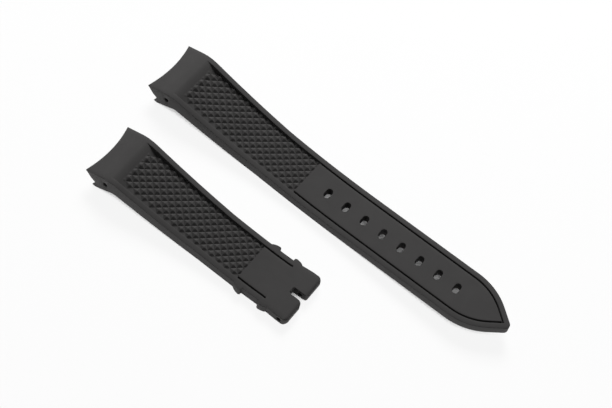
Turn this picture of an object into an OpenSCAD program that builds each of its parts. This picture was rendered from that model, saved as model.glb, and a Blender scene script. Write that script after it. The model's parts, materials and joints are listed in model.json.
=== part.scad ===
// Two-piece moulded rubber watch strap, lying face up as two loose halves.
// Each half is drawn in its own strap frame: X runs from the lug bore to the free end,
// Y runs across the strap, and Z = 0 is the underside of the straight tail.
// Both halves are then tipped until the foot of the head and the belly rest on Z = 0.

/* [Width and thickness] */
// Width across the lug end
lug_w = 19.8; // [19:0.2:22]
// Width of the straight tail
tail_w = 17.4; // [16.6:0.2:18.6]
// Distance from the lug bore over which the width narrows
taper_len = 35; // [28:1:44]
// Thickness of the straight tail
tail_t = 3.2; // [2.9:0.1:3.8]

/* [Lengths] */
// Lug bore to the tip of the long half
long_len = 124.8; // [120:0.2:140]
// Lug bore to the buckle end of the short half
short_len = 68; // [67:0.5:76]
// Lug bore to where the moulded curve ends
bend_x = 68; // [64:1:76]
// Radius of the curve of the top face
top_r = 256; // [240:4:280]
// Radius of the curve of the underside
bottom_r = 336; // [320:4:360]

/* [Lug end] */
// Radius of the watch case that the wings close on
case_r = 33.3; // [28:0.5:40]
// Reach of the wing tips beyond the lug bore
wing_reach = 7.2; // [6.6:0.1:8]
// Fall of the top face from its crest to the wing tips
wing_fall = 2.7; // [2.2:0.1:3]
// Lug bore forward to the crest of the top face
crest_x = 1.5; // [1.2:0.1:2]
// Radius that rounds the crest
crest_r = 12; // [8:0.5:13]
// Height of the lug bore above the underside of the tail
bore_z = 8.35; // [8.1:0.05:8.6]
// Depth of the foot below the lug bore
foot_drop = 5; // [4.6:0.1:5.2]
// Rise of the foot from its heel to its lip
lip_rise = 0.2; // [0.1:0.1:0.4]
// Lug bore back to the heel of the foot
heel_back = 3.5; // [3.2:0.1:3.7]
// Lug bore back to the lip of the foot
lip_back = 4.8; // [4.5:0.1:5]
// Lug bore forward to the throat, where the head runs into the underside
throat_x = 3.3; // [3:0.1:4]
// Height of the lug bore above the notch for the case rim
notch_drop = 2.6; // [2.4:0.1:2.8]
// Lug bore back to the notch
notch_back = 3.75; // [3.5:0.05:4]
// Lug bore back to the brow over the notch
brow_back = 5.35; // [5:0.05:5.7]
// Height of the brow above the notch
brow_rise = 1; // [0.8:0.1:1.2]
// Diameter of the spring bar holes
bar_d = 1.6; // [1.3:0.1:1.8]
// Wall of the liner tubes
tube_wall = 0.25; // [0.2:0.05:0.3]
// Rubber left over each end of a liner tube
tube_cover = 1; // [0.6:0.1:1.4]

/* [Top face] */
// Width of the raised rim beside the recess
rim_w = 1.75; // [1.5:0.05:2.2]
// Width of the groove round the smooth panel
groove_w = 0.5; // [0.4:0.05:0.7]
// Depth of the groove round the smooth panel
groove_depth = 0.8; // [0.6:0.05:1]
// Lug bore to the first row of the knurl
knurl_x0 = 4.6; // [4.2:0.1:5.2]
// Length of the knurled field
knurl_len = 43.6; // [41:0.2:45]
// Spacing of the knurl pyramids along a row
knurl_pitch = 2.02; // [1.8:0.02:2.4]
// Height of the knurl pyramids
knurl_h = 0.75; // [0.5:0.05:0.8]
// Depth of the recess floor at the head
recess_head = 1.25; // [1:0.05:1.4]
// Depth of the recess floor at the panel
recess_tail = 0.9; // [0.85:0.05:1.1]
// Length of the ramp from the head down into the recess
ramp_len = 3; // [2.6:0.1:3.2]

/* [Tang holes and tip] */
// Number of tang holes
hole_count = 8; // [8:1:9]
// Lug bore to the first tang hole
hole_x0 = 56.4; // [55:0.2:58]
// Spacing of the tang holes
hole_pitch = 7; // [6.4:0.1:7]
// Length of a tang hole across the strap
hole_l = 3.9; // [3:0.1:5]
// Width of a tang hole along the strap
hole_w = 2.1; // [1.6:0.1:2.4]
// Radius of the shoulders of the tip
shoulder_r = 20.2; // [18:0.2:22]
// Angle between the sides of the tip and the strap
tip_angle = 38; // [36:1:42]
// Radius of the tip itself
tip_r = 1.5; // [1:0.1:1.7]

/* [Buckle end] */
// Width across the buckle ears
ear_w = 18.3; // [18:0.1:19.4]
// Length over which the ears keep their full width
ear_len = 3.6; // [3:0.1:4]
// Radius that rounds the buckle end seen from the side
buckle_end_r = 1.35; // [0.8:0.05:1.4]
// Radius of the ear corners seen from above
ear_corner_r = 2; // [1:0.1:2.4]
// Width of the slot for the tang
slot_w = 2.8; // [2.2:0.1:3.4]
// Depth of the slot for the tang
slot_depth = 5; // [4.5:0.1:5.4]
// Radius of the corners at the mouth of the slot
mouth_r = 0.8; // [0.4:0.1:1]
// Distance from the buckle bore to the buckle end
buckle_bore_inset = 2.6; // [2.2:0.1:3]
// Distance from the keeper seat to the buckle end
keeper_inset = 10.4; // [10.2:0.1:11]
// Length of the keeper seat
keeper_seat = 5.25; // [4.6:0.1:5.6]
// Length of each keeper stop
stop_len = 3.3; // [2.6:0.1:3.6]
// Height of each keeper stop
stop_h = 0.9; // [0.5:0.1:1.2]
// Distance that the smooth panel runs past the keeper seat
panel_past = 1; // [0.6:0.1:1.4]

/* [Flexing] */
// Lug bore to the first flex line
flex_x0 = 9; // [8.8:0.1:9.4]
// Length of the first knurled grip of the long half
long_grip_len = 20; // [18:0.5:21]
// Length of the first knurled grip of the short half
short_grip_len = 18.5; // [17:0.5:19.5]
// Flex line to the first tang hole
hole_lead = 6.4; // [5.6:0.1:6.8]
// Number of tang holes in each hole band
band_holes = 3; // [2:1:3]
// Flex line to the first keeper stop
stop_lead = 3; // [2.6:0.1:4]
// Steepest bend towards the wrist at one flex line, in degrees
bend_in = 40; // [20:1:42]
// Steepest bend away from the wrist at one flex line, in degrees
bend_out = 15; // [5:1:18]

/* [Layout] */
// Short half ahead of the long half, lug bore to lug bore
pair_dx = 5.3; // [0:0.1:12]
// Distance between the centre lines at the lug bores
pair_dy = 35.2; // [32:0.1:45]
// Turn of the short half against the long half, in degrees
pair_turn = 1.3; // [0:0.1:3]

/* [Hidden] */

// Fineness of circles, long curves and rounded corners
round_fn = 96;
arc_steps = 24;
corner_steps = 6;
// Length that reaches past any face, and the least overrun of a cut
big = 40;
through = 1;
// Length of the head's blank behind its wing tips
head_spare = 3;
// Clearance of a knuckle in its hollow, and of a liner tube in its seat
gap = 0.1;
seat = 0.02;
// Degrees that a flex line stays open past its limits
cut_spare = 4;

rubber = [0.27, 0.265, 0.26];
tube_steel = [0.62, 0.63, 0.65];

// Curves of the two faces, as heights in the strap frame
function rise(x, r) = x < bend_x ? r - sqrt(r * r - pow(bend_x - x, 2)) : 0;
function top_z(x) = tail_t + rise(x, top_r);
function bottom_z(x) = rise(x, bottom_r);
function mid_z(x) = (top_z(x) + bottom_z(x)) / 2;
function slope_at(x) = x < bend_x ? -(asin((bend_x - x) / top_r) + asin((bend_x - x) / bottom_r)) / 2 : 0;

// Points of the head in side view
case_x = -wing_reach - sqrt(case_r * case_r - lug_w * lug_w / 4);
crest_z = top_z(crest_x);
wing_z = crest_z - wing_fall;
wing_slope = wing_fall / (crest_x + wing_reach);
head_back = wing_reach + head_spare;
heel_x = -heel_back;
foot_z = bore_z - foot_drop;
lip_slope = lip_rise / (lip_back - heel_back);
crest_span = 4;
throat_span = 2;
throat_r = 4;
heel_r = 0.6;
// Shortest straight stretch before the end of a half
end_straight = 3;

// The flank of the watch case that the lug end closes on, as [radius, height]
function flank_r(x) = norm([x - case_x, lug_w / 2]);
notch_z = bore_z - notch_drop;
case_flank = [
    [flank_r(-lip_back), foot_z + lip_rise],
    [flank_r(-notch_back), notch_z],
    [flank_r(-brow_back), notch_z + brow_rise],
    [flank_r(-wing_reach), wing_z]
];

// Tip that rests the half on the foot of its head and on its belly
lean = bottom_r * foot_z * 2;
belly_reach = (bend_x - heel_x) - sqrt(pow(bend_x - heel_x, 2) - lean);
rest_tilt = asin(belly_reach / bottom_r);
belly_x = bend_x - belly_reach;
rest_z = -(belly_x * sin(rest_tilt) + bottom_z(belly_x) * cos(rest_tilt));

// Layout of the two halves about the middle of the pair
low_x = -wing_reach * cos(rest_tilt) - wing_z * sin(rest_tilt);
high_x = long_len * cos(rest_tilt);
high_y = lug_w / 2;
low_y = -pair_dy + low_x * sin(pair_turn) - lug_w / 2 * cos(pair_turn);
long_place = [-(low_x + high_x) / 2, -(low_y + high_y) / 2, 0];
short_place = long_place + [pair_dx, -pair_dy, 0];

// Stations along the strap
knurl_x1 = knurl_x0 + knurl_len;
knurl_q = knurl_pitch / sqrt(2);
ramp_x = knurl_x0 - ramp_len;
long_flex = [
    flex_x0,
    flex_x0 + long_grip_len,
    hole_x0 - hole_lead,
    hole_x0 + (band_holes - 0.5) * hole_pitch,
    hole_x0 + (2 * band_holes - 0.5) * hole_pitch
];
keeper_x0 = short_len - keeper_inset - keeper_seat;
keeper_x1 = short_len - keeper_inset;
short_flex = [flex_x0, flex_x0 + short_grip_len, keeper_x0 - stop_len - stop_lead];
buckle_bore_x = short_len - buckle_bore_inset;
panel_end = keeper_x1 + panel_past;

function half_w(x) =
    x <= 0 ? lug_w / 2
    : x >= taper_len ? tail_w / 2
    : lug_w / 2 + (tail_w - lug_w) / 2 * x / taper_len;

// Evenly spaced values from one end to the other, both ends included
function curve(first, last, steps) = [for (k = [0:steps]) first + (last - first) * k / steps];

// Rounds one corner b of an outline that comes from a and goes on to c
function unit(v) = v / norm(v);
function turn(a) = a > 180 ? a - 360 : a < -180 ? a + 360 : a;
function round_corner(a, b, c, r) =
    let (
        u = unit(a - b),
        v = unit(c - b),
        half = acos(u * v) / 2,
        mid = b + unit(u + v) * r / sin(half),
        from = b + u * r / tan(half) - mid,
        to = b + v * r / tan(half) - mid,
        start = atan2(from[1], from[0]),
        sweep = turn(atan2(to[1], to[0]) - start)
    )
    [for (a = curve(start, start + sweep, corner_steps)) mid + r * [cos(a), sin(a)]];

// Side view of a half, from the end face round over the top to the head and back below
function side_view(end_x, end_r) =
    let (
        crest = [crest_x, crest_z],
        back_top = [-head_back, crest_z - wing_slope * (head_back + crest_x)],
        back_low = [-head_back, foot_z + lip_slope * (head_back + heel_x)],
        heel = [heel_x, foot_z],
        throat = [throat_x, bottom_z(throat_x)],
        neck = [crest_x + crest_span, top_z(crest_x + crest_span)],
        belly = [throat_x + throat_span, bottom_z(throat_x + throat_span)],
        top_end = [end_x, top_z(end_x)],
        low_end = [end_x, bottom_z(end_x)],
        curve_x = min(bend_x, end_x - end_straight)
    )
    concat(
        end_r > 0 ? round_corner([0, 0], low_end, top_end, end_r) : [low_end],
        end_r > 0 ? round_corner(low_end, top_end, [0, top_end[1]], end_r) : [top_end],
        [for (x = curve(curve_x, neck[0], arc_steps)) [x, top_z(x)]],
        round_corner(neck, crest, back_top, crest_r),
        [back_top, back_low],
        round_corner(back_low, heel, throat, heel_r),
        round_corner(heel, throat, belly, throat_r),
        [for (x = curve(belly[0], curve_x, arc_steps)) [x, bottom_z(x)]]
    );

// Lays a side view outline up on edge, right across the strap
module across(points) {
    rotate([90, 0, 0])
        linear_extrude(height = big, center = true)
            polygon(points);
}

module upright(points) {
    translate([0, 0, -big / 2])
        linear_extrude(height = big)
            polygon(points);
}

function mirrored(points) = concat(points, [for (k = [len(points) - 1:-1:0]) [points[k][0], -points[k][1]]]);

// Plan of the long half, moved in from its edge by inset
tip_centre_y = tail_w / 2 - shoulder_r;
tip_reach = shoulder_r * sin(tip_angle) + (tip_centre_y + shoulder_r * cos(tip_angle)) / tan(tip_angle);
shoulder_x = long_len + tip_r * (1 / sin(tip_angle) - 1) - tip_reach;
function tip_apex(inset) =
    shoulder_x + (shoulder_r - inset) * sin(tip_angle)
    + (tip_centre_y + (shoulder_r - inset) * cos(tip_angle)) / tan(tip_angle);
function tip_nose(inset) =
    let (r = tip_r - inset, x = tip_apex(0) - tip_r / sin(tip_angle))
    r > 0
        ? [for (a = curve(90 - tip_angle, 0, corner_steps)) [x + r * cos(a), r * sin(a)]]
        : [[tip_apex(inset), 0]];
function shoulder(inset) = [
    for (a = curve(0, tip_angle, corner_steps * 2))
        [shoulder_x + (shoulder_r - inset) * sin(a), tip_centre_y + (shoulder_r - inset) * cos(a)]
];
function edge_from(x, inset) = concat(
    [[x, half_w(x) - inset]],
    x < 0 ? [[0, half_w(0) - inset]] : [],
    x < taper_len ? [[taper_len, half_w(taper_len) - inset]] : []
);
function long_plan(x, inset) = mirrored(concat(edge_from(x, inset), shoulder(inset), tip_nose(inset)));

// Plan of the short half without its keeper stops
ear_x = short_len - ear_len;
function short_plan() =
    let (
        corner = [short_len, ear_w / 2],
        before = [ear_x, ear_w / 2]
    )
    mirrored(concat(
        edge_from(-head_back, 0),
        [[keeper_x1 + stop_len, tail_w / 2], before],
        round_corner(before, corner, [short_len, 0], ear_corner_r)
    ));

// One keeper stop on the +Y edge, its steep wall at x and its ramp running to x + len
stop_corner_r = 0.3;
stop_top_share = 0.45;
function stop_outline(x, len) =
    let (
        root_y = tail_w / 2 - through,
        top_y = tail_w / 2 + stop_h,
        wall = [x, top_y],
        brow = [x + len * stop_top_share, top_y - stop_corner_r / 2]
    )
    concat(
        [[x, root_y]],
        round_corner([x, root_y], wall, brow, stop_corner_r),
        [brow, [x + len, tail_w / 2], [x + len, root_y]]
    );
module keeper_stops() {
    for (side = [0, 1])
        mirror([0, side, 0]) {
            upright(stop_outline(keeper_x0, -stop_len));
            upright(stop_outline(keeper_x1, stop_len));
        }
}

module long_blank() {
    intersection() {
        across(side_view(long_len + through, 0));
        upright(long_plan(-head_back, 0));
    }
}

module short_blank(stops) {
    intersection() {
        across(side_view(short_len, buckle_end_r));
        union() {
            upright(short_plan());
            if (stops)
                keeper_stops();
        }
    }
}

// Flex lines: the part before a line ends in a round knuckle and the next part turns on it
function pivot(x) = [x, mid_z(x)];
function knuckle_r(x) = (top_z(x) - bottom_z(x)) / 2 * cos(slope_at(x)) - seat;
function ray(x, a) = pivot(x) + big * [cos(slope_at(x) + a), sin(slope_at(x) + a)];
module knuckle(x, r) {
    translate([x, 0, mid_z(x)])
        rotate([90, 0, 0])
            cylinder(h = big, r = r, center = true, $fn = round_fn);
}

// Keeps the part of a half between flex lines number k - 1 and k
module flex_cell(lines, k) {
    first = k == 0;
    last = k == len(lines);
    behind = first ? [[-big, big], [-big, -big]] : [
        ray(lines[k - 1], 90 - bend_out - cut_spare),
        pivot(lines[k - 1]),
        ray(lines[k - 1], -90 + bend_in + cut_spare)
    ];
    ahead = last ? [[long_len + big, -big], [long_len + big, big]] : [
        ray(lines[k], -90),
        ray(lines[k], 90)
    ];
    difference() {
        union() {
            across(concat(behind, ahead));
            if (!last)
                knuckle(lines[k], knuckle_r(lines[k]));
        }
        if (!first)
            knuckle(lines[k - 1], knuckle_r(lines[k - 1]) + gap);
    }
}

// Recess for the knurl, with a ramp down from the crest of the head
function recess_depth(x) = recess_head + (recess_tail - recess_head) * (x - knurl_x0) / knurl_len;
function floor_z(x) = top_z(x) - recess_depth(x);
function field_plan(x0, x1, inset) = mirrored(concat(
    [[x0, half_w(x0) - inset]],
    x1 > taper_len ? [[taper_len, half_w(taper_len) - inset]] : [],
    [[x1, half_w(x1) - inset]]
));
module recess() {
    intersection() {
        across(concat(
            [for (x = curve(knurl_x0, knurl_x1, arc_steps)) [x, floor_z(x)]],
            [[knurl_x1, big], [ramp_x, big], [ramp_x, crest_z]]
        ));
        upright(field_plan(ramp_x - through, knurl_x1 + through, rim_w));
    }
}

// Knurl: a grid whose points alternate between pyramid peaks and the corners between them
// The grid runs on under the rim, the panel and the head, so the recess alone sets its edges
// Rubber left outside the grid, lift of its low points and depth of its bed below the floor
knurl_edge = 0.1;
knurl_lift = 0.05;
knurl_bed = 0.4;
knurl_rows = floor((tail_w / 2 - knurl_edge) / knurl_q);
knurl_cols = ceil(knurl_len / knurl_q) + 1;
module knurl() {
    nx = knurl_cols;
    ny = 2 * knurl_rows;
    count = (nx + 1) * (ny + 1);
    function at(i, j) = i * (ny + 1) + j;
    function low(i) = count + 2 * i;
    function high(i) = count + 2 * i + 1;
    function is_peak(i, j) = (i + j) % 2 == 0;
    function station(i) = knurl_x0 + (i - 1) * knurl_q;
    function across_y(j) = (j - knurl_rows) * knurl_q;
    skin = [
        for (i = [0:nx]) for (j = [0:ny])
            [station(i), across_y(j), floor_z(station(i)) + (is_peak(i, j) ? knurl_h : knurl_lift)]
    ];
    bed = [
        for (i = [0:nx]) for (j = [0, ny])
            [station(i), across_y(j), floor_z(station(i)) - knurl_bed]
    ];
    top_faces = [
        for (i = [0:nx - 1]) for (j = [0:ny - 1])
            let (a = at(i, j), b = at(i + 1, j), c = at(i + 1, j + 1), d = at(i, j + 1))
            each is_peak(i, j) ? [[a, d, b], [b, d, c]] : [[a, d, c], [a, c, b]]
    ];
    strips = [
        for (i = [0:nx - 1])
            each [
                [low(i), low(i + 1), high(i + 1), high(i)],
                [at(i, 0), at(i + 1, 0), low(i + 1), low(i)],
                [at(i + 1, ny), at(i, ny), high(i), high(i + 1)]
            ]
    ];
    ends = [
        concat([for (j = [ny:-1:0]) at(0, j)], [low(0), high(0)]),
        concat([for (j = [0:ny]) at(nx, j)], [high(nx), low(nx)])
    ];
    polyhedron(concat(skin, bed), concat(top_faces, strips, ends));
}

// Groove round the smooth panel, open to the recess at its head end
groove_x0 = knurl_x1 - 0.3;
function groove_side(end_x) = concat(
    [for (x = curve(groove_x0 - through, bend_x, arc_steps)) [x, top_z(x) - groove_depth]],
    [[end_x, tail_t - groove_depth], [end_x, big], [groove_x0 - through, big]]
);
module long_groove() {
    intersection() {
        across(groove_side(long_len + through));
        difference() {
            upright(long_plan(groove_x0, rim_w));
            upright(long_plan(groove_x0 - through, rim_w + groove_w));
        }
    }
}
module short_groove() {
    intersection() {
        across(groove_side(short_len));
        difference() {
            upright(field_plan(groove_x0, panel_end, rim_w));
            upright(field_plan(groove_x0 - through, panel_end + through, rim_w + groove_w));
        }
    }
}

// Oblong hole for the buckle's tang, longest across the strap
function hole_x(k) = hole_x0 + k * hole_pitch;
module tang_hole(x) {
    end_y = (hole_l - hole_w) / 2;
    translate([x, 0, 0]) {
        for (side = [-1, 1])
            translate([0, side * end_y, 0])
                cylinder(h = big, d = hole_w, center = true, $fn = round_fn);
        cube([hole_w, 2 * end_y, big], center = true);
    }
}

// Bores across the strap, with the wider seats of their liner tubes
tube_d = bar_d + 2 * tube_wall;
lug_tube_len = lug_w - 2 * tube_cover;
ear_tube_len = (ear_w - slot_w) / 2 - 2 * tube_cover;
ear_tube_y = (ear_w + slot_w) / 4;
buckle_bore_z = tail_t / 2;
module rod(x, y, z, d, len) {
    translate([x, y, z])
        rotate([90, 0, 0])
            cylinder(h = len, d = d, center = true, $fn = round_fn);
}
module lug_bore() {
    rod(0, 0, bore_z, bar_d, big);
    rod(0, 0, bore_z, tube_d + 2 * seat, lug_tube_len + 2 * seat);
}
module buckle_bore() {
    rod(buckle_bore_x, 0, buckle_bore_z, bar_d, big);
    for (side = [-1, 1])
        rod(buckle_bore_x, side * ear_tube_y, buckle_bore_z, tube_d + 2 * seat, ear_tube_len + 2 * seat);
}
module liner(x, y, z, len) {
    difference() {
        rod(x, y, z, tube_d, len);
        rod(x, y, z, bar_d, len + through);
    }
}

// The watch case, cut out of the lug end
module watch_case() {
    last = len(case_flank) - 1;
    translate([case_x, 0, 0])
        rotate_extrude($fn = round_fn * 2)
            polygon(concat(
                [[0, -big], [case_flank[0][0], -big]],
                case_flank,
                [[case_flank[last][0], big], [0, big]]
            ));
}

// Slot for the tang, with its mouth rounded on both ears
module tang_slot() {
    inner = slot_w / 2;
    corner_x = short_len - mouth_r;
    translate([short_len - slot_depth, -inner, -big / 2])
        cube([slot_depth + through, slot_w, big]);
    for (side = [0, 1])
        mirror([0, side, 0])
            difference() {
                translate([corner_x, inner, -big / 2])
                    cube([mouth_r + through, mouth_r, big]);
                translate([corner_x, inner + mouth_r, 0])
                    cylinder(h = big + through, r = mouth_r, center = true, $fn = round_fn);
            }
}

// Sets a half down on its foot and belly and moves it to its place in the pair
module laid_long() {
    translate(long_place + [0, 0, rest_z])
        rotate([0, -rest_tilt, 0])
            children();
}
module laid_short() {
    translate(short_place + [0, 0, rest_z])
        rotate([0, 0, pair_turn])
            rotate([0, -rest_tilt, 0])
                children();
}

// One length of the long half: 0 is the head, then two knurled grips, two hole bands and the tip
module long_length(k) {
    last = len(long_flex);
    color(rubber)
        laid_long()
            difference() {
                intersection() {
                    union() {
                        difference() {
                            long_blank();
                            if (k <= 2)
                                recess();
                        }
                        if (k == 1 || k == 2)
                            knurl();
                    }
                    flex_cell(long_flex, k);
                }
                if (k == 0) {
                    watch_case();
                    lug_bore();
                }
                if (k >= 2)
                    long_groove();
                if (k > 2)
                    for (h = [0:hole_count - 1])
                        if (hole_x(h) > long_flex[k - 1] && (k == last || hole_x(h) < long_flex[k]))
                            tang_hole(hole_x(h));
            }
}

// One length of the short half: 0 is the head, then two knurled grips and the buckle tail
module short_length(k) {
    last = len(short_flex);
    color(rubber)
        laid_short()
            difference() {
                intersection() {
                    union() {
                        difference() {
                            short_blank(k == last);
                            recess();
                        }
                        if (k == 1 || k == 2)
                            knurl();
                    }
                    flex_cell(short_flex, k);
                }
                if (k == 0) {
                    watch_case();
                    lug_bore();
                }
                if (k == last) {
                    short_groove();
                    tang_slot();
                    buckle_bore();
                }
            }
}

module long_lug_tube() {
    color(tube_steel)
        laid_long()
            liner(0, 0, bore_z, lug_tube_len);
}

module short_lug_tube() {
    color(tube_steel)
        laid_short()
            liner(0, 0, bore_z, lug_tube_len);
}

module buckle_ear_tubes() {
    color(tube_steel)
        laid_short()
            for (side = [-1, 1])
                liner(buckle_bore_x, side * ear_tube_y, buckle_bore_z, ear_tube_len);
}

long_length(0);  // long_head
long_length(1);  // long_grip_1
long_length(2);  // long_grip_2
long_length(3);  // long_hole_band_1
long_length(4);  // long_hole_band_2
long_length(5);  // long_tip
long_lug_tube();
short_length(0);  // short_head
short_length(1);  // short_grip_1
short_length(2);  // short_grip_2
short_length(3);  // short_buckle_tail
short_lug_tube();
buckle_ear_tubes();
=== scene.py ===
import json
import math

import bmesh
import bpy
from mathutils import Matrix, Vector


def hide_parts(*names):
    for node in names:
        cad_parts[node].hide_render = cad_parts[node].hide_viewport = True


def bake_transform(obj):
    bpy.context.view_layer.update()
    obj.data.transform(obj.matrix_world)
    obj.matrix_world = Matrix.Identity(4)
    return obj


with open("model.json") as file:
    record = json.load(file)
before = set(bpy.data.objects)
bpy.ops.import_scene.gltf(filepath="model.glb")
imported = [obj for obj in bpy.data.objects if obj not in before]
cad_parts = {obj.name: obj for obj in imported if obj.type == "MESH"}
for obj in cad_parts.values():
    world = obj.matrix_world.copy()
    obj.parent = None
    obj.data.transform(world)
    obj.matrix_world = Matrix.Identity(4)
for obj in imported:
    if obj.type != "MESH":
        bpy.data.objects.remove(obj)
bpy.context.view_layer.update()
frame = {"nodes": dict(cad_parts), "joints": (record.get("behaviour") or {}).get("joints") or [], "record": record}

# Each half is modelled in its own strap frame, in millimetres: x runs from the lug bore to the free end,
# y across the strap and z = 0 is the underside of the straight tail.
MM = 0.001
mounts = {mount["name"]: mount for mount in frame["record"]["mounts"]}
joints = {joint["name"]: joint for joint in frame["joints"]}

# Width and thickness
lug_w = mounts["long_lug_bore"]["dims"]["length_mm"]
tail_w = 17.5
taper_len = 35
tail_t = 3.2

# Lengths and the two curves
long_len = 125.05
short_len = 68
bend_x = 68
top_r = 256
bottom_r = 336

# Lug end
case_r = 33.3
wing_reach = 7.5
wing_fall = 2.7
crest_x = 1.5
crest_span = 4
crest_r = 12
bore_z = 8.35
bore_r = mounts["long_lug_bore"]["dims"]["r_mm"]
foot_drop = 5
lip_rise = 0.2
heel_back = 3.5
lip_back = 4.8
throat_x = 3.3
throat_span = 2
throat_r = 4
notch_drop = 2.6
notch_back = 3.75
brow_back = 5.35
brow_rise = 1
heel_bow = 0.35
wing_r = 0.16
brow_r = 0.35
notch_r = 0.25
lip_r = 0.16
heel_r = 0.6

# Top face
rim_w = 1.75
groove_w = 0.5
groove_depth = 0.8
recess_head = 1.4
recess_tail = 0.9
ramp_x0 = 1.2
ramp_x1 = 5.8
crown = 0.12
knurl_x0 = 4.6
knurl_len = 43.6
knurl_pitch = 2.02
knurl_h = 0.75
knurl_lift = 0.03
knurl_bed = 0.4
peak_round = 0.1
knurl_margin = 0.9

# Tang holes and tip
hole_count = 8
hole_x0 = 56.55
hole_pitch = 7
hole_l = 3.65
hole_w = 2.05
hole_flare = 0.05
shoulder_r = 20.2
tip_angle = math.radians(38)
tip_r = 1.5

# Buckle end
ear_w = mounts["buckle_bore"]["dims"]["length_mm"]
ear_spread = 0.3
ear_len = 3.6
ear_corner_r = 1.5
buckle_end_r = 0.9
slot_w = 2.3
slot_shift = 0.27
slot_depth = 5
slot_corner_r = 0.5
slot_flare = 0.2
far_mouth_r = 0.8
near_mouth_r = 1.8
end_sway = 0.2
buckle_bore_inset = 2.6
keeper_inset = 10.4
keeper_seat = 5.25
stop_len = 3
stop_h = 1
stop_round = 0.4
stop_corner = 0.25
near_stop_lead = 1.1
panel_past = 1

# Liner tubes and their seats
tube_d = 2 * bore_r + 0.5
tube_cover = 1
tube_seat = 0.02
bore_lip = 0.12

# Rounding of the edges, and the width of the strips beside the rim that carry it
edge_r = 0.12
lug_edge_r = 0.1
lug_edge_x = -2.5
rim_edge_r = 0.15
wall_lean = 0.05
field_inset = 2.4
step_len = 0.15

# Spacing of the lengthwise stations and of the points round the head, the number of columns from the panel's
# edge to the centre line, the number of sides of a bore, and the angle past which an edge is shaded sharp
station_gap = 1
head_gap = 0.8
fill_columns = 9
bore_sides = 40
sharp_angle = math.radians(38)

knurl_x1 = knurl_x0 + knurl_len
knurl_q = knurl_pitch / math.sqrt(2)
case_x = -wing_reach - math.sqrt(case_r ** 2 - (lug_w / 2) ** 2)
foot_z = bore_z - foot_drop
notch_z = bore_z - notch_drop
keeper_x0 = short_len - keeper_inset - keeper_seat
keeper_x1 = short_len - keeper_inset
panel_end = keeper_x1 + panel_past


def smooth(value, low, high):
    """0 below low, 1 above high and an even S between them."""
    share = min(1, max(0, (value - low) / (high - low)))
    return share * share * (3 - 2 * share)


def steps(first, last, count):
    """count + 1 evenly spaced values, both ends included."""
    return [first + (last - first) * k / count for k in range(count + 1)]


def between(points, x):
    """Height at x on a line of (x, z) points that runs towards +x."""
    for (x0, z0), (x1, z1) in zip(points, points[1:]):
        if x <= x1:
            return z0 + (z1 - z0) * (x - x0) / (x1 - x0)
    return points[-1][1]


def round_corner(before, corner, after, radius, count):
    """Points on the arc that rounds a corner of a line. Its further values are kept on each of them."""
    point = Vector(corner[:2])
    back = (Vector(before[:2]) - point).normalized()
    ahead = (Vector(after[:2]) - point).normalized()
    half = back.angle(ahead) / 2
    centre = point + (back + ahead).normalized() * radius / math.sin(half)
    start = point + back * radius / math.tan(half) - centre
    turn = start.angle_signed(point + ahead * radius / math.tan(half) - centre)
    arc = [Matrix.Rotation(-turn * k / count, 2) @ start + centre for k in range(count + 1)]
    return [(p.x, p.y, *corner[2:]) for p in arc]


# Heights of the two faces along the strap

def rise(x, radius):
    return radius - math.sqrt(radius ** 2 - (bend_x - x) ** 2) if x < bend_x else 0


def top_curve(x):
    return tail_t + rise(x, top_r)


def bottom_curve(x):
    return rise(x, bottom_r)


crest_z = top_curve(crest_x)
wing_z = crest_z - wing_fall
wing_slope = wing_fall / (crest_x + wing_reach)
neck_x = crest_x + crest_span
belly_x = throat_x + throat_span
crest_line = (
    [(-wing_reach, wing_z)]
    + round_corner((-wing_reach, wing_z), (crest_x, crest_z), (neck_x, top_curve(neck_x)), crest_r, 16)
    + [(neck_x, top_curve(neck_x))]
)
throat_line = (
    [(-heel_back, foot_z)]
    + round_corner((-heel_back, foot_z), (throat_x, bottom_curve(throat_x)),
                   (belly_x, bottom_curve(belly_x)), throat_r, 10)
    + [(belly_x, bottom_curve(belly_x))]
)


def top_z(x):
    return top_curve(x) if x > neck_x else between(crest_line, x)


def bottom_z(x):
    return bottom_curve(x) if x > belly_x else between(throat_line, x)


def half_w(x):
    share = min(1, max(0, x / taper_len))
    return (lug_w + (tail_w - lug_w) * share) / 2


# Strips beside the edge. Each is (kind, place, drop). The place is an angle round the outer edge for an edge
# strip and a distance from the edge for the others. The drop is how far the wall of the recess or the groove
# has gone down there, or how far the panel's side is still below the panel.

edge_angles = [90, 67, 45, 22, 0]
strips = (
    [("edge", math.radians(angle), 0) for angle in edge_angles]
    + [("rim", 0.8, 0), ("rim", 1.25, 0), ("rim", rim_w - rim_edge_r, 0)]
    + [("wall", rim_w - rim_edge_r * (1 - math.sin(a)), rim_edge_r * (1 - math.cos(a))) for a in (0.6, 1.1)]
    + [("wall", rim_w, rim_edge_r), ("foot", rim_w + wall_lean, rim_edge_r)]
    + [("floor", rim_w + rim_edge_r, 0), ("floor", rim_w + groove_w - rim_edge_r, 0)]
    + [("back_foot", rim_w + groove_w - wall_lean, rim_edge_r), ("back", rim_w + groove_w, rim_edge_r)]
    + [("back", rim_w + groove_w + rim_edge_r * (1 - math.cos(a)), rim_edge_r * (1 - math.sin(a)))
       for a in (0.5, 1)]
    + [("panel", field_inset, 0)]
)


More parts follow.
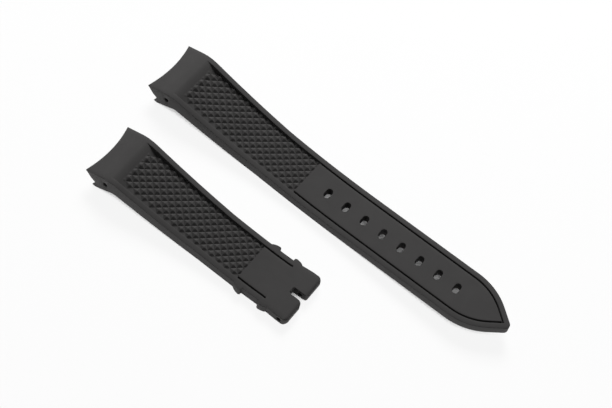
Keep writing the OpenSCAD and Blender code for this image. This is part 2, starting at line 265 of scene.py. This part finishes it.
class LongHalf:
    """Plan of the long half: a straight taper, then the shoulders and the pointed tip."""

    def __init__(self):
        self.centre_y = tail_w / 2 - shoulder_r
        run = math.sin(tip_angle), math.cos(tip_angle)
        reach = shoulder_r * run[0] + (self.centre_y + shoulder_r * run[1]) / math.tan(tip_angle)
        self.shoulder_x = long_len + tip_r * (1 / run[0] - 1) - reach
        self.nose_x = self.apex(0) - tip_r / run[0]
        straight = station_list(self.shoulder_x, [knurl_x1])
        self.stations = (
            [("straight", x) for x in straight]
            + [("shoulder", a) for a in steps(0, tip_angle, 13)[1:]]
            + [("flank", share) for share in steps(0, 1, 6)[1:]]
            + [("nose", share) for share in steps(0, 1, 6)[1:]]
        )
        self.last_fill = len(self.stations) - 1

    def apex(self, inset):
        radius = shoulder_r - inset
        drop = self.centre_y + radius * math.cos(tip_angle)
        return self.shoulder_x + radius * math.sin(tip_angle) + drop / math.tan(tip_angle)

    def shoulder(self, angle, inset):
        radius = shoulder_r - inset
        return self.shoulder_x + radius * math.sin(angle), self.centre_y + radius * math.cos(angle)

    def nose(self, share, inset):
        radius = tip_r - inset
        if radius <= 0:
            return self.apex(inset), 0
        angle = (math.pi / 2 - tip_angle) * (1 - share)
        return self.nose_x + radius * math.cos(angle), radius * math.sin(angle)

    def edge(self, station, inset):
        kind, value = station
        if kind == "straight":
            return value, half_w(value) - inset
        if kind == "shoulder":
            return self.shoulder(value, inset)
        if kind == "nose":
            return self.nose(value, inset)
        x0, y0 = self.shoulder(tip_angle, inset)
        x1, y1 = self.nose(0, inset)
        return x0 + (x1 - x0) * value, y0 + (y1 - y0) * value

    def edge_radius(self, station):
        return edge_r

    def bump(self, x):
        return 0

    def groove_share(self, x):
        return 1


class ShortHalf:
    """Plan of the short half: the taper, the keeper stops, and the ears with their rounded corners."""

    def __init__(self):
        corner_x = short_len - ear_corner_r
        marks = [knurl_x1, panel_end]
        for wall, ramp in ((keeper_x0, -stop_len), (keeper_x1, stop_len)):
            marks += [wall] + [wall + ramp * share for share in (0.1, 0.45, 0.75, 0.9, 0.97, 1)]
        straight = station_list(corner_x, marks)
        columns = [1 - k / fill_columns for k in range(fill_columns + 1)]
        self.stations = (
            [("straight", x) for x in straight]
            + [("corner", a) for a in steps(math.pi / 2, 0, 8)[1:]]
            + [("end", share) for share in columns]
        )
        self.last_fill = len(self.stations) - len(columns)

    def ear_y(self, x):
        share = min(1, max(0, (x - keeper_x1) / (short_len - ear_len - keeper_x1)))
        return half_w(x) + (ear_w + ear_spread - tail_w) / 2 * share

    def edge(self, station, inset):
        kind, value = station
        radius = ear_corner_r - inset
        if kind == "straight":
            return min(value, short_len - inset), self.ear_y(value) - inset
        if kind == "end":
            return short_len - inset, value * (self.ear_y(short_len) - field_inset)
        if radius <= 0:
            return short_len - inset, self.ear_y(short_len) - inset
        centre_x = short_len - ear_corner_r
        centre_y = self.ear_y(short_len) - ear_corner_r
        return centre_x + radius * math.cos(value), centre_y + radius * math.sin(value)

    def edge_radius(self, station):
        kind, value = station
        if kind == "end":
            return buckle_end_r
        if kind == "corner":
            return edge_r + (buckle_end_r - edge_r) * smooth(math.cos(value), 0, 1)
        return edge_r

    def bump(self, x):
        """How far the two keeper stops stand out from the edge."""
        past = keeper_x0 - x if x < (keeper_x0 + keeper_x1) / 2 else x - keeper_x1
        if past < 0 or past >= stop_len:
            return 0
        corner = stop_corner * (1 - smooth(past, 0, stop_round))
        return stop_h * (1 - (past / stop_len) ** 2) ** 0.75 - corner

    def groove_share(self, x):
        return 1 - smooth(x, panel_end - step_len, panel_end)


def station_list(end_x, marks):
    """Stations from the lug bore to end_x, evenly spaced, with close ones at every step in the shape."""
    values = steps(0, end_x, round(end_x / station_gap))
    close = [mark + share * step_len for mark in marks for share in (-1.4, -1, -0.7, -0.35, 0, 0.35)]
    close += steps(ramp_x0, ramp_x1, 8)
    kept = [x for x in values if all(abs(x - mark) > 2 * step_len for mark in marks)]
    return sorted(set(round(x, 4) for x in kept + [x for x in close if 0 < x < end_x]) | {0, end_x})


def recess_depth(x):
    """Depth of the knurled recess below the rims, with the ramp that leads down to it from the head."""
    depth = recess_head + (recess_tail - recess_head) * max(0, x - knurl_x0) / knurl_len
    even = min(1, max(0, (x - ramp_x0) / (ramp_x1 - ramp_x0)))
    return depth * (even + smooth(x, ramp_x0, ramp_x1)) / 2


def strip_drop(half, kind, value, x):
    """How far the top face lies below its curve on one strip at x."""
    on_panel = smooth(x, knurl_x1 - step_len, knurl_x1)
    recess = recess_depth(x)
    channel = (recess * (1 - on_panel) + groove_depth * on_panel) * half.groove_share(x)
    field = recess * (1 - on_panel)
    if kind == "wall":
        return min(value, channel)
    if kind == "foot":
        return max(channel - value, min(value, channel))
    if kind == "floor":
        return channel
    if kind == "back_foot":
        return max(channel - value * on_panel, field)
    if kind == "back":
        return min(channel, field + value * on_panel)
    if kind == "panel":
        return field
    return 0


def crown_drop(inset):
    share = max(0, 1 - inset / rim_w)
    return crown * share * share


def face_point(half, station, strip, top):
    """A point of the top or underside on one strip at one station."""
    kind, value, drop = strip
    radius = half.edge_radius(station)
    if kind == "edge":
        inset = radius * (1 - math.sin(value))
        sink = radius * (1 - math.cos(value))
        x, y = half.edge(station, inset)
        y += half.bump(x) if station[0] == "straight" else 0
    else:
        inset, sink = max(value, radius), 0
        x, y = half.edge(station, inset)
    if not top:
        return x, y, bottom_z(x) + sink
    return x, y, top_z(x) - sink - crown_drop(inset) - strip_drop(half, kind, drop, x)


def face_rows(half, top):
    """Rows of points across the strap, from its edge to the centre line, one row for each station."""
    rows = []
    for number, station in enumerate(half.stations):
        row = [face_point(half, station, strip, top) for strip in strips]
        if number <= half.last_fill:
            x, y, z = row[-1]
            row += [(x, y * (1 - k / fill_columns), z) for k in range(1, fill_columns + 1)]
        rows.append(row)
    return rows


# Lug end: a line round its side view, from the top at x = 0 over the wings, the notch and the foot to the
# underside at x = 0. Each point also holds how far it follows the round case, and how far its height does.

def head_line():
    corners = [
        (0, top_z(0), 0, 1),
        (-wing_reach, wing_z, 1, 1),
        (-brow_back, notch_z + brow_rise, 1, 0),
        (-notch_back, notch_z, 1, 0),
        (-lip_back, foot_z + lip_rise, 1, 0),
        (-heel_back, foot_z, heel_bow, 0),
        (0, bottom_z(0), 0, 0),
    ]
    line = [corners[0]]
    for number, radius in enumerate((wing_r, brow_r, notch_r, lip_r, heel_r), 1):
        line += round_corner(*corners[number - 1:number + 2], radius, 5)
    line.append(corners[-1])
    fine = [line[0]]
    for start, end in zip(line, line[1:]):
        count = max(1, round(math.dist(start[:2], end[:2]) / head_gap))
        fine += [tuple(a + (b - a) * k / count for a, b in zip(start, end)) for k in range(1, count + 1)]
    # The crest is a curve, so the points on it are lifted to it
    return [(x, top_z(x), bow, lift) if lift == 1 and x > -wing_reach + 1 else (x, z, bow, lift)
            for x, z, bow, lift in fine]


def inward(line, number):
    """Direction into the rubber at one point of the line round the head."""
    if number == 0:
        return 0, -1
    if number == len(line) - 1:
        return 0, 1
    run_x = line[number + 1][0] - line[number - 1][0]
    run_z = line[number + 1][1] - line[number - 1][1]
    size = math.hypot(run_x, run_z)
    return -run_z / size, run_x / size


def head_columns(radius):
    """(y, depth below the surface) of each column across the head, where its side edge has this radius."""
    edge_y = lug_w / 2
    inner = edge_y - field_inset
    columns = []
    for kind, value, _ in strips:
        if kind == "edge":
            columns.append((edge_y - radius * (1 - math.sin(value)), radius * (1 - math.cos(value))))
        else:
            columns.append((edge_y - value, 0))
    return columns + [(inner * (1 - k / fill_columns), 0) for k in range(1, fill_columns + 1)]


def head_rows():
    line = head_line()
    edge_y = lug_w / 2
    rows = []
    for number, (x, z, bow, lift) in enumerate(line):
        normal_x, normal_z = inward(line, number)
        case_reach = math.hypot(x - case_x, edge_y)
        row = []
        for y, sink in head_columns(lug_edge_r + (edge_r - lug_edge_r) * smooth(x, lug_edge_x, 0)):
            shift = bow * (math.sqrt(case_reach ** 2 - y * y) - math.sqrt(case_reach ** 2 - edge_y ** 2))
            fall = crown_drop(edge_y - y) if lift == 1 else 0
            height = z + lift * wing_slope * shift + normal_z * sink - fall
            row.append((x + shift + normal_x * sink, y, height))
        rows.append(row)
    return rows


def add_rows(mesh, rows):
    """Joins rows of points into a sheet of faces, with triangles where a row is shorter."""
    made = [[mesh.verts.new(point) for point in row] for row in rows]
    for row, after in zip(made, made[1:]):
        for k in range(min(len(row), len(after)) - 1):
            mesh.faces.new((row[k], row[k + 1], after[k + 1], after[k]))


def add_outline(mesh, points):
    mesh.faces.new([mesh.verts.new(point) for point in points])


def new_object(name, mesh):
    data = bpy.data.meshes.new(name)
    mesh.to_mesh(data)
    mesh.free()
    made = bpy.data.objects.new(name, data)
    bpy.context.scene.collection.objects.link(made)
    return made


def weld(mesh):
    bmesh.ops.remove_doubles(mesh, verts=mesh.verts, dist=0.003)
    bmesh.ops.dissolve_degenerate(mesh, edges=mesh.edges, dist=0.001)
    bmesh.ops.recalc_face_normals(mesh, faces=mesh.faces)


def make_blank(name, half):
    """The whole half with its rim, recess, panel and groove, before any hole is cut."""
    mesh = bmesh.new()
    top = face_rows(half, True)
    bottom = face_rows(half, False)
    head = head_rows()
    add_rows(mesh, top)
    add_rows(mesh, bottom)
    add_rows(mesh, head)
    add_rows(mesh, [[upper[0], lower[0]] for upper, lower in zip(top, bottom)])
    add_outline(mesh, [row[0] for row in head])
    copy = bmesh.ops.duplicate(mesh, geom=mesh.verts[:] + mesh.edges[:] + mesh.faces[:])["geom"]
    for vert in copy:
        if isinstance(vert, bmesh.types.BMVert):
            vert.co.y *= -1
    weld(mesh)
    bmesh.ops.triangulate(mesh, faces=[face for face in mesh.faces if len(face.verts) > 4])
    return new_object(name, mesh)


# Knurl: square pyramids on a grid that is turned 45 degrees to the strap

def pyramid(x, y):
    """Height share of the knurl at a point, nearly 1 at a rounded peak and 0 in a valley."""
    u = (x + y) / math.sqrt(2) / knurl_pitch
    v = (x - y) / math.sqrt(2) / knurl_pitch
    u = abs(u - round(u)) * 2
    v = abs(v - round(v)) * 2
    return 1 - math.hypot(max(u, v), peak_round)


def peak_y(x, y):
    """Where the pyramid that holds a point has its peak across the strap."""
    u = round((x + y) / math.sqrt(2) / knurl_pitch)
    v = round((x - y) / math.sqrt(2) / knurl_pitch)
    return (u - v) * knurl_q


def make_knurl(name):
    """A slab under the recess floor whose top carries the knurl, with its edges buried in rims and panel.
    Pyramids that the near rim would cut off are left out, as is the far one of the first row."""
    per_cell = 5
    first = knurl_x0 - knurl_q
    pitch = knurl_q / per_cell
    long_count = math.ceil((knurl_x1 + 0.4 - first) / pitch)
    side_count = math.ceil((lug_w / 2 - rim_w + 0.3) / pitch)
    mesh = bmesh.new()
    skin, bed = [], []
    for i in range(long_count + 1):
        x = first + i * pitch
        limit = half_w(x) - rim_w + 0.5
        skin.append([])
        bed.append([])
        fade = smooth(x, knurl_x0 - 0.9 * knurl_q, knurl_x0 - 0.1 * knurl_q)
        for j in range(-side_count, side_count + 1):
            y = j * pitch
            if abs(y) > limit:
                y = math.copysign(limit + (abs(y) - limit) * 0.02, y)
            floor = top_z(x) - recess_depth(x)
            height = knurl_lift
            peak = peak_y(x - first, y)
            first_row = x < knurl_x0 + knurl_q
            room = half_w(x) - rim_w - knurl_margin
            if -room < peak and (peak < room or not first_row):
                height += (knurl_h - knurl_lift) * pyramid(x - first, y)
            height = height * fade - 0.12 * (1 - fade)
            skin[-1].append(mesh.verts.new((x, y, floor + height)))
            bed[-1].append(mesh.verts.new((x, y, floor - knurl_bed)))
    last_i, last_j = long_count, 2 * side_count
    for i in range(last_i):
        for j in range(last_j):
            a, b, c, d = skin[i][j], skin[i + 1][j], skin[i + 1][j + 1], skin[i][j + 1]
            cell = (i // per_cell) + ((j - side_count) // per_cell)
            triangles = ((a, b, c), (a, c, d)) if cell % 2 else ((a, b, d), (b, c, d))
            for triangle in triangles:
                mesh.faces.new(triangle)
            mesh.faces.new((bed[i][j], bed[i][j + 1], bed[i + 1][j + 1], bed[i + 1][j]))
    for i in range(last_i):
        for j in (0, last_j):
            mesh.faces.new((skin[i][j], skin[i + 1][j], bed[i + 1][j], bed[i][j]))
    for j in range(last_j):
        for i in (0, last_i):
            mesh.faces.new((skin[i][j], skin[i][j + 1], bed[i][j + 1], bed[i][j]))
    bmesh.ops.recalc_face_normals(mesh, faces=mesh.faces)
    return new_object(name, mesh)


# Cutters for the holes, bores and the slot

def add_prism(mesh, rings):
    """A closed solid through rings of points that have the same number of points each."""
    made = [[mesh.verts.new(point) for point in ring] for ring in rings]
    for ring, after in zip(made, made[1:]):
        for k in range(len(ring)):
            nxt = (k + 1) % len(ring)
            mesh.faces.new((ring[k], ring[nxt], after[nxt], after[k]))
    mesh.faces.new(made[0])
    mesh.faces.new(made[-1][::-1])


def flared_levels(low, high, flare, spare):
    """(height, outward offset) of the rings of a cut whose two mouths are rounded."""
    angles = [math.radians(a) for a in (0, 30, 60, 90)]
    up = [(high - flare * (1 - math.sin(a)), flare * (1 - math.cos(a))) for a in angles]
    down = [(low + flare * (1 - math.sin(a)), flare * (1 - math.cos(a))) for a in reversed(angles)]
    return [(low - spare, flare + spare * 0.2)] + down + up + [(high + spare, flare + spare * 0.2)]


def make_tang_holes(name):
    mesh = bmesh.new()
    for number in range(hole_count):
        x = hole_x0 + number * hole_pitch
        rings = []
        for z, offset in flared_levels(bottom_z(x), top_z(x), hole_flare, 0.5):
            radius = hole_w / 2 + offset
            ring = []
            for side in (1, -1):
                for a in steps(0, math.pi, 16):
                    angle = a if side > 0 else a + math.pi
                    ring.append((x + radius * math.cos(angle),
                                 side * (hole_l - hole_w) / 2 + radius * math.sin(angle), z))
            rings.append(ring)
        add_prism(mesh, rings)
    bmesh.ops.recalc_face_normals(mesh, faces=mesh.faces)
    return new_object(name, mesh)


def make_bore(name, x, z, levels):
    """A turned cutter along y through (x, z). Each level is (y, radius)."""
    mesh = bmesh.new()
    angles = steps(0, math.tau, bore_sides)[:-1]
    rings = [[(x + r * math.cos(a), y, z + r * math.sin(a)) for a in angles] for y, r in levels]
    add_prism(mesh, rings)
    bmesh.ops.recalc_face_normals(mesh, faces=mesh.faces)
    return new_object(name, mesh)


def mouth_levels(face_y):
    """The rounded mouth of a bore in a side face at face_y, and its run past the face."""
    return [
        (face_y + 1, bore_r + bore_lip + 0.2),
        (face_y, bore_r + bore_lip),
        (face_y - bore_lip * 0.4, bore_r + bore_lip * 0.35),
        (face_y - bore_lip, bore_r),
    ]


def make_lug_bore(name):
    seat_y = lug_w / 2 - tube_cover + tube_seat
    seat_r = tube_d / 2 + tube_seat
    side = mouth_levels(lug_w / 2) + [(seat_y, bore_r), (seat_y, seat_r)]
    return make_bore(name, 0, bore_z, side + [(-y, r) for y, r in reversed(side)])


def make_buckle_bore(name):
    seat_r = tube_d / 2 + tube_seat
    outer_y = ear_w / 2 - tube_cover + tube_seat
    inner_y = slot_w / 2 + tube_cover - tube_seat
    side = mouth_levels((ear_w + ear_spread) / 2)
    side += [(outer_y, bore_r), (outer_y, seat_r), (inner_y, seat_r), (inner_y, bore_r)]
    x = short_len - buckle_bore_inset
    return make_bore(name, x, tail_t / 2, side + [(-y, r) for y, r in reversed(side)])


def make_slot(name):
    """Slot for the tang, with rounded inner corners and lips, and a mouth rounded more on the near ear."""
    inner_x = short_len - slot_depth
    rings = []
    for z, offset in flared_levels(0, tail_t, slot_flare, 0.6):
        y = slot_w / 2 + offset
        back_x = inner_x - offset
        ring = []
        for side, mouth_r in ((1, far_mouth_r), (-1, near_mouth_r)):
            line = [(back_x + slot_corner_r * (1 - math.cos(a)), y - slot_corner_r * (1 - math.sin(a)))
                    for a in steps(0, math.pi / 2, 5)]
            line += [(short_len - mouth_r - offset + (mouth_r + offset) * math.sin(a),
                      y + mouth_r * (1 - math.cos(a))) for a in steps(0, math.pi / 2, 6)]
            line.append((short_len + 2, y + mouth_r + 0.5))
            ring += [(px, side * py + slot_shift, z) for px, py in line[::side]]
        rings.append(ring)
    mesh = bmesh.new()
    add_prism(mesh, rings)
    bmesh.ops.recalc_face_normals(mesh, faces=mesh.faces)
    return new_object(name, mesh)


def sway_end(half):
    """Bends the soft buckle end a little to one side, and moves the near inner stop towards the head."""
    stop_x = keeper_x0 - stop_len / 2
    for vert in half.data.vertices:
        x, y = vert.co.xy
        if y < rim_w - half_w(x):
            off = abs(x - stop_x) - stop_len / 2
            vert.co.x -= near_stop_lead * (1 - smooth(off, stop_round, 3 * near_stop_lead))
        vert.co.y += end_sway * smooth(x, keeper_x0, short_len - buckle_bore_inset)


def combine(target, tool, operation):
    """Applies one boolean to target and deletes the tool."""
    modifier = target.modifiers.new(operation.lower(), "BOOLEAN")
    modifier.operation = operation
    modifier.solver = "MANIFOLD"
    modifier.object = tool
    bpy.context.view_layer.update()
    result = bpy.data.meshes.new_from_object(target.evaluated_get(bpy.context.evaluated_depsgraph_get()))
    target.modifiers.clear()
    target.data = result
    bpy.data.objects.remove(tool)


# Placement, and the pieces cut between the flex lines

def placement(bore, face):
    """Matrix from a half's strap frame in millimetres to the row frame in metres."""
    across = Vector(mounts[bore]["axis"])
    across *= math.copysign(1, across.y)
    up = Vector(mounts[face]["axis"])
    along = across.cross(up)
    turn = Matrix((along, across, up)).transposed()
    origin = Vector(mounts[bore]["pos_m"]) - up * bore_z * MM
    return Matrix.Translation(origin) @ turn.to_4x4() @ Matrix.Scale(MM, 4)


def cut_length(source, name, low, high):
    """The part of a half between two stations, with its cut faces closed."""
    mesh = bmesh.new()
    mesh.from_mesh(source.data)
    for x, side in ((low, -1), (high, 1)):
        if x is None:
            continue
        geometry = mesh.verts[:] + mesh.edges[:] + mesh.faces[:]
        result = bmesh.ops.bisect_plane(mesh, geom=geometry, dist=0.0001, plane_co=(x, 0, 0),
                                        plane_no=(side, 0, 0), clear_outer=True)
        rim = [edge for edge in result["geom_cut"] if isinstance(edge, bmesh.types.BMEdge)]
        bmesh.ops.triangle_fill(mesh, use_beauty=True, edges=rim, normal=(side, 0, 0))
    return new_object(name, mesh)


def finish_piece(piece, place, material):
    piece.data.transform(place)
    piece.data.materials.clear()
    piece.data.materials.append(material)
    piece.data.shade_smooth()
    piece.data.set_sharp_from_angle(angle=sharp_angle)


def bend_pieces(whole, place, joint_names, stood_for, material):
    """Cuts a half at the middles between its flex lines into pieces that each hold one flex line, and hides the
    parts each piece stands for.
    """
    back = place.inverted()
    flex = [(back @ Vector(joints[name]["pos_m"])).x for name in joint_names]
    cuts = [None] + [(a + b) / 2 for a, b in zip(flex, flex[1:])] + [None]
    for number, name in enumerate(joint_names):
        low, high = cuts[number], cuts[number + 1]
        piece = cut_length(whole, f"{whole.name}_{number + 1}", low, high)
        finish_piece(piece, place, material)
        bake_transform(piece)
        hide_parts(*stood_for[number])
    bpy.data.objects.remove(whole)


# Materials

def node(tree, kind, place, **values):
    made = tree.nodes.new(kind)
    made.location = place
    for name, value in values.items():
        made.inputs[name].default_value = value
    return made


def rubber_material():
    """Matt charcoal rubber: fine moulded grain, faint bloom and slightly uneven gloss."""
    material = bpy.data.materials.new("moulded_rubber")
    material.use_nodes = True
    tree = material.node_tree
    shader = tree.nodes["Principled BSDF"]
    shader.inputs["Specular IOR Level"].default_value = 0.1
    spot = tree.nodes.new("ShaderNodeTexCoord")
    bloom = node(tree, "ShaderNodeTexNoise", (-800, 300), Scale=140, Detail=5, Roughness=0.6)
    tone = tree.nodes.new("ShaderNodeValToRGB")
    tone.color_ramp.elements[0].position = 0.3
    tone.color_ramp.elements[0].color = (0.0417, 0.0405, 0.0403, 1)
    tone.color_ramp.elements[1].position = 0.7
    tone.color_ramp.elements[1].color = (0.0489, 0.0475, 0.0472, 1)
    gloss = node(tree, "ShaderNodeMapRange", (-300, 0))
    gloss.inputs["To Min"].default_value = 0.7
    gloss.inputs["To Max"].default_value = 0.8
    grain = node(tree, "ShaderNodeTexNoise", (-800, -300), Scale=5200, Detail=3, Roughness=0.55)
    bump = node(tree, "ShaderNodeBump", (-300, -300), Strength=0.25, Distance=0.00003)
    links = tree.links
    for texture in (bloom, grain):
        links.new(spot.outputs["Object"], texture.inputs["Vector"])
    links.new(bloom.outputs["Fac"], tone.inputs["Fac"])
    links.new(bloom.outputs["Fac"], gloss.inputs["Value"])
    links.new(tone.outputs["Color"], shader.inputs["Base Color"])
    links.new(gloss.outputs["Result"], shader.inputs["Roughness"])
    links.new(grain.outputs["Fac"], bump.inputs["Height"])
    links.new(bump.outputs["Normal"], shader.inputs["Normal"])
    return material


def tube_material():
    """Drawn steel with fine lines round the tube, in colours darkened as painted shade so that it stays as dark as
    the shaded inside of a bore.
    """
    material = bpy.data.materials.new("liner_steel")
    material.use_nodes = True
    tree = material.node_tree
    shader = tree.nodes["Principled BSDF"]
    shader.inputs["Metallic"].default_value = 1
    spot = tree.nodes.new("ShaderNodeTexCoord")
    lines = node(tree, "ShaderNodeTexNoise", (-800, 0), Scale=3000, Detail=4)
    tone = tree.nodes.new("ShaderNodeValToRGB")
    # Painted shade: both tones are far darker than bare steel and stand in for the shade inside the bores
    tone.color_ramp.elements[0].color = (0.09, 0.09, 0.095, 1)
    tone.color_ramp.elements[1].color = (0.26, 0.26, 0.27, 1)
    gloss = node(tree, "ShaderNodeMapRange", (-300, 0))
    gloss.inputs["To Min"].default_value = 0.35
    gloss.inputs["To Max"].default_value = 0.6
    links = tree.links
    links.new(spot.outputs["Object"], lines.inputs["Vector"])
    links.new(lines.outputs["Fac"], tone.inputs["Fac"])
    links.new(lines.outputs["Fac"], gloss.inputs["Value"])
    links.new(tone.outputs["Color"], shader.inputs["Base Color"])
    links.new(gloss.outputs["Result"], shader.inputs["Roughness"])
    return material


# The two halves

rubber = rubber_material()

long_strap = make_blank("long_strap", LongHalf())
combine(long_strap, make_knurl("long_knurl"), "UNION")
combine(long_strap, make_tang_holes("tang_holes"), "DIFFERENCE")
combine(long_strap, make_lug_bore("long_bore"), "DIFFERENCE")
bend_pieces(
    long_strap, placement("long_lug_bore", "tang_holes"),
    ["long_flex_1", "long_flex_2", "long_flex_3", "long_flex_4", "long_flex_5"],
    [["long_head", "long_grip_1"], ["long_grip_2"], ["long_hole_band_1"], ["long_hole_band_2"], ["long_tip"]],
    rubber)

short_strap = make_blank("short_strap", ShortHalf())
combine(short_strap, make_knurl("short_knurl"), "UNION")
combine(short_strap, make_slot("tang_slot"), "DIFFERENCE")
combine(short_strap, make_lug_bore("short_bore"), "DIFFERENCE")
combine(short_strap, make_buckle_bore("buckle_bore"), "DIFFERENCE")
sway_end(short_strap)
bend_pieces(
    short_strap, placement("short_lug_bore", "keeper_seat"),
    ["short_flex_1", "short_flex_2", "short_flex_3"],
    [["short_head", "short_grip_1"], ["short_grip_2"], ["short_buckle_tail"]],
    rubber)

steel = tube_material()
for name in ("long_lug_tube", "short_lug_tube", "buckle_ear_tubes"):
    tube = frame["nodes"][name]
    tube.data.materials.clear()
    tube.data.materials.append(steel)


# Floor, light and camera

# How far the ground looks for something that covers it, how clear it is to the camera where it is covered
# and where it is open, and the light that the open ground gives the object, as a light table does
cover_reach = 0.012
covered_clear = 0.06
open_clear = 0.9
ground_glow = 1.1


def floor_material():
    """White ground. In the open the camera sees mostly the white behind it, so that shadows stay faint.
    Ground that the object covers closely is seen nearly as it is, dark."""
    material = bpy.data.materials.new("white_ground")
    material.use_nodes = True
    tree = material.node_tree
    tree.nodes.remove(tree.nodes["Principled BSDF"])
    output = tree.nodes["Material Output"]
    path = tree.nodes.new("ShaderNodeLightPath")
    clear = tree.nodes.new("ShaderNodeBsdfTransparent")
    paper = tree.nodes.new("ShaderNodeBsdfDiffuse")
    paper.inputs["Color"].default_value = (0.9, 0.9, 0.9, 1)
    glow = tree.nodes.new("ShaderNodeEmission")
    lit = tree.nodes.new("ShaderNodeAddShader")
    cover = node(tree, "ShaderNodeAmbientOcclusion", (-800, -200), Distance=cover_reach)
    cover.samples = 8
    open_share = node(tree, "ShaderNodeMapRange", (-600, -200))
    open_share.inputs["From Min"].default_value = 0.17
    open_share.inputs["From Max"].default_value = 0.36
    open_share.inputs["To Min"].default_value = covered_clear
    open_share.inputs["To Max"].default_value = open_clear
    lit_share = node(tree, "ShaderNodeMapRange", (-600, -400))
    lit_share.inputs["From Min"].default_value = 0.35
    lit_share.inputs["From Max"].default_value = 0.55
    share = node(tree, "ShaderNodeMath", (-200, 0))
    share.operation = "MULTIPLY"
    unseen = node(tree, "ShaderNodeMath", (-400, -200))
    unseen.operation = "SUBTRACT"
    unseen.use_clamp = True
    power = node(tree, "ShaderNodeMath", (-200, -200))
    power.operation = "MULTIPLY"
    power.inputs[1].default_value = ground_glow
    blend = tree.nodes.new("ShaderNodeMixShader")
    links = tree.links
    links.new(cover.outputs["AO"], open_share.inputs["Value"])
    links.new(cover.outputs["AO"], lit_share.inputs["Value"])
    links.new(path.outputs["Is Camera Ray"], share.inputs[0])
    links.new(open_share.outputs["Result"], share.inputs[1])
    links.new(share.outputs["Value"], blend.inputs["Fac"])
    links.new(lit_share.outputs["Result"], unseen.inputs[0])
    links.new(path.outputs["Is Camera Ray"], unseen.inputs[1])
    links.new(unseen.outputs["Value"], power.inputs[0])
    links.new(power.outputs["Value"], glow.inputs["Strength"])
    links.new(paper.outputs["BSDF"], lit.inputs[0])
    links.new(glow.outputs["Emission"], lit.inputs[1])
    links.new(lit.outputs["Shader"], blend.inputs[1])
    links.new(clear.outputs["BSDF"], blend.inputs[2])
    links.new(blend.outputs["Shader"], output.inputs["Surface"])
    return material


def make_floor():
    half_size = 3
    corners = [(-1, -1), (1, -1), (1, 1), (-1, 1)]
    mesh = bmesh.new()
    mesh.faces.new([mesh.verts.new((x * half_size, y * half_size, 0)) for x, y in corners])
    floor = new_object("floor", mesh)
    floor.data.materials.append(floor_material())


def make_world():
    """White for what the camera, glossy and transmission rays see, and a softer grey as light."""
    world = bpy.data.worlds.new("studio")
    bpy.context.scene.world = world
    world.use_nodes = True
    tree = world.node_tree
    background = tree.nodes["Background"]
    background.inputs["Color"].default_value = (1, 1, 1, 1)
    path = tree.nodes.new("ShaderNodeLightPath")
    mirrored = node(tree, "ShaderNodeMath", (-800, 0))
    mirrored.operation = "MAXIMUM"
    shown = node(tree, "ShaderNodeMath", (-600, 0))
    shown.operation = "MAXIMUM"
    strength = node(tree, "ShaderNodeMapRange", (-300, 0))
    strength.inputs["To Min"].default_value = 0.08
    strength.inputs["To Max"].default_value = 1
    links = tree.links
    links.new(path.outputs["Is Glossy Ray"], mirrored.inputs[0])
    links.new(path.outputs["Is Transmission Ray"], mirrored.inputs[1])
    links.new(path.outputs["Is Camera Ray"], shown.inputs[0])
    links.new(mirrored.outputs["Value"], shown.inputs[1])
    links.new(shown.outputs["Value"], strength.inputs["Value"])
    links.new(strength.outputs["Result"], background.inputs["Strength"])


def add_lamp(name, place, aim, size, watts):
    data = bpy.data.lights.new(name, "AREA")
    data.shape = "RECTANGLE"
    data.size, data.size_y = size
    data.energy = watts
    lamp = bpy.data.objects.new(name, data)
    bpy.context.scene.collection.objects.link(lamp)
    lamp.location = place
    lamp.rotation_euler = (Vector(aim) - Vector(place)).to_track_quat("-Z", "Y").to_euler()


def make_camera():
    """The camera that was fitted to the photograph, given by where it stands and which way it looks."""
    data = bpy.data.cameras.new("camera")
    data.sensor_width = 36
    data.lens = 108.4
    data.clip_start = 0.01
    data.dof.use_dof = False
    camera = bpy.data.objects.new("camera", data)
    bpy.context.scene.collection.objects.link(camera)
    right = Vector((0.7777, 0.6061, 0.1668)).normalized()
    forward = Vector((-0.1705, 0.4589, -0.8720)).normalized()
    up = right.cross(forward).normalized()
    right = forward.cross(up)
    turn = Matrix((right, up, -forward)).transposed().to_4x4()
    camera.matrix_world = Matrix.Translation((0.09055, -0.24719, 0.49219)) @ turn
    bpy.context.scene.camera = camera


make_floor()
make_world()
add_lamp("key_softbox", (-0.35, 0.563, 0.596), (0, 0, 0), (0.42, 0.36), 10.5)
make_camera()
bpy.context.scene.view_settings.view_transform = "Standard"
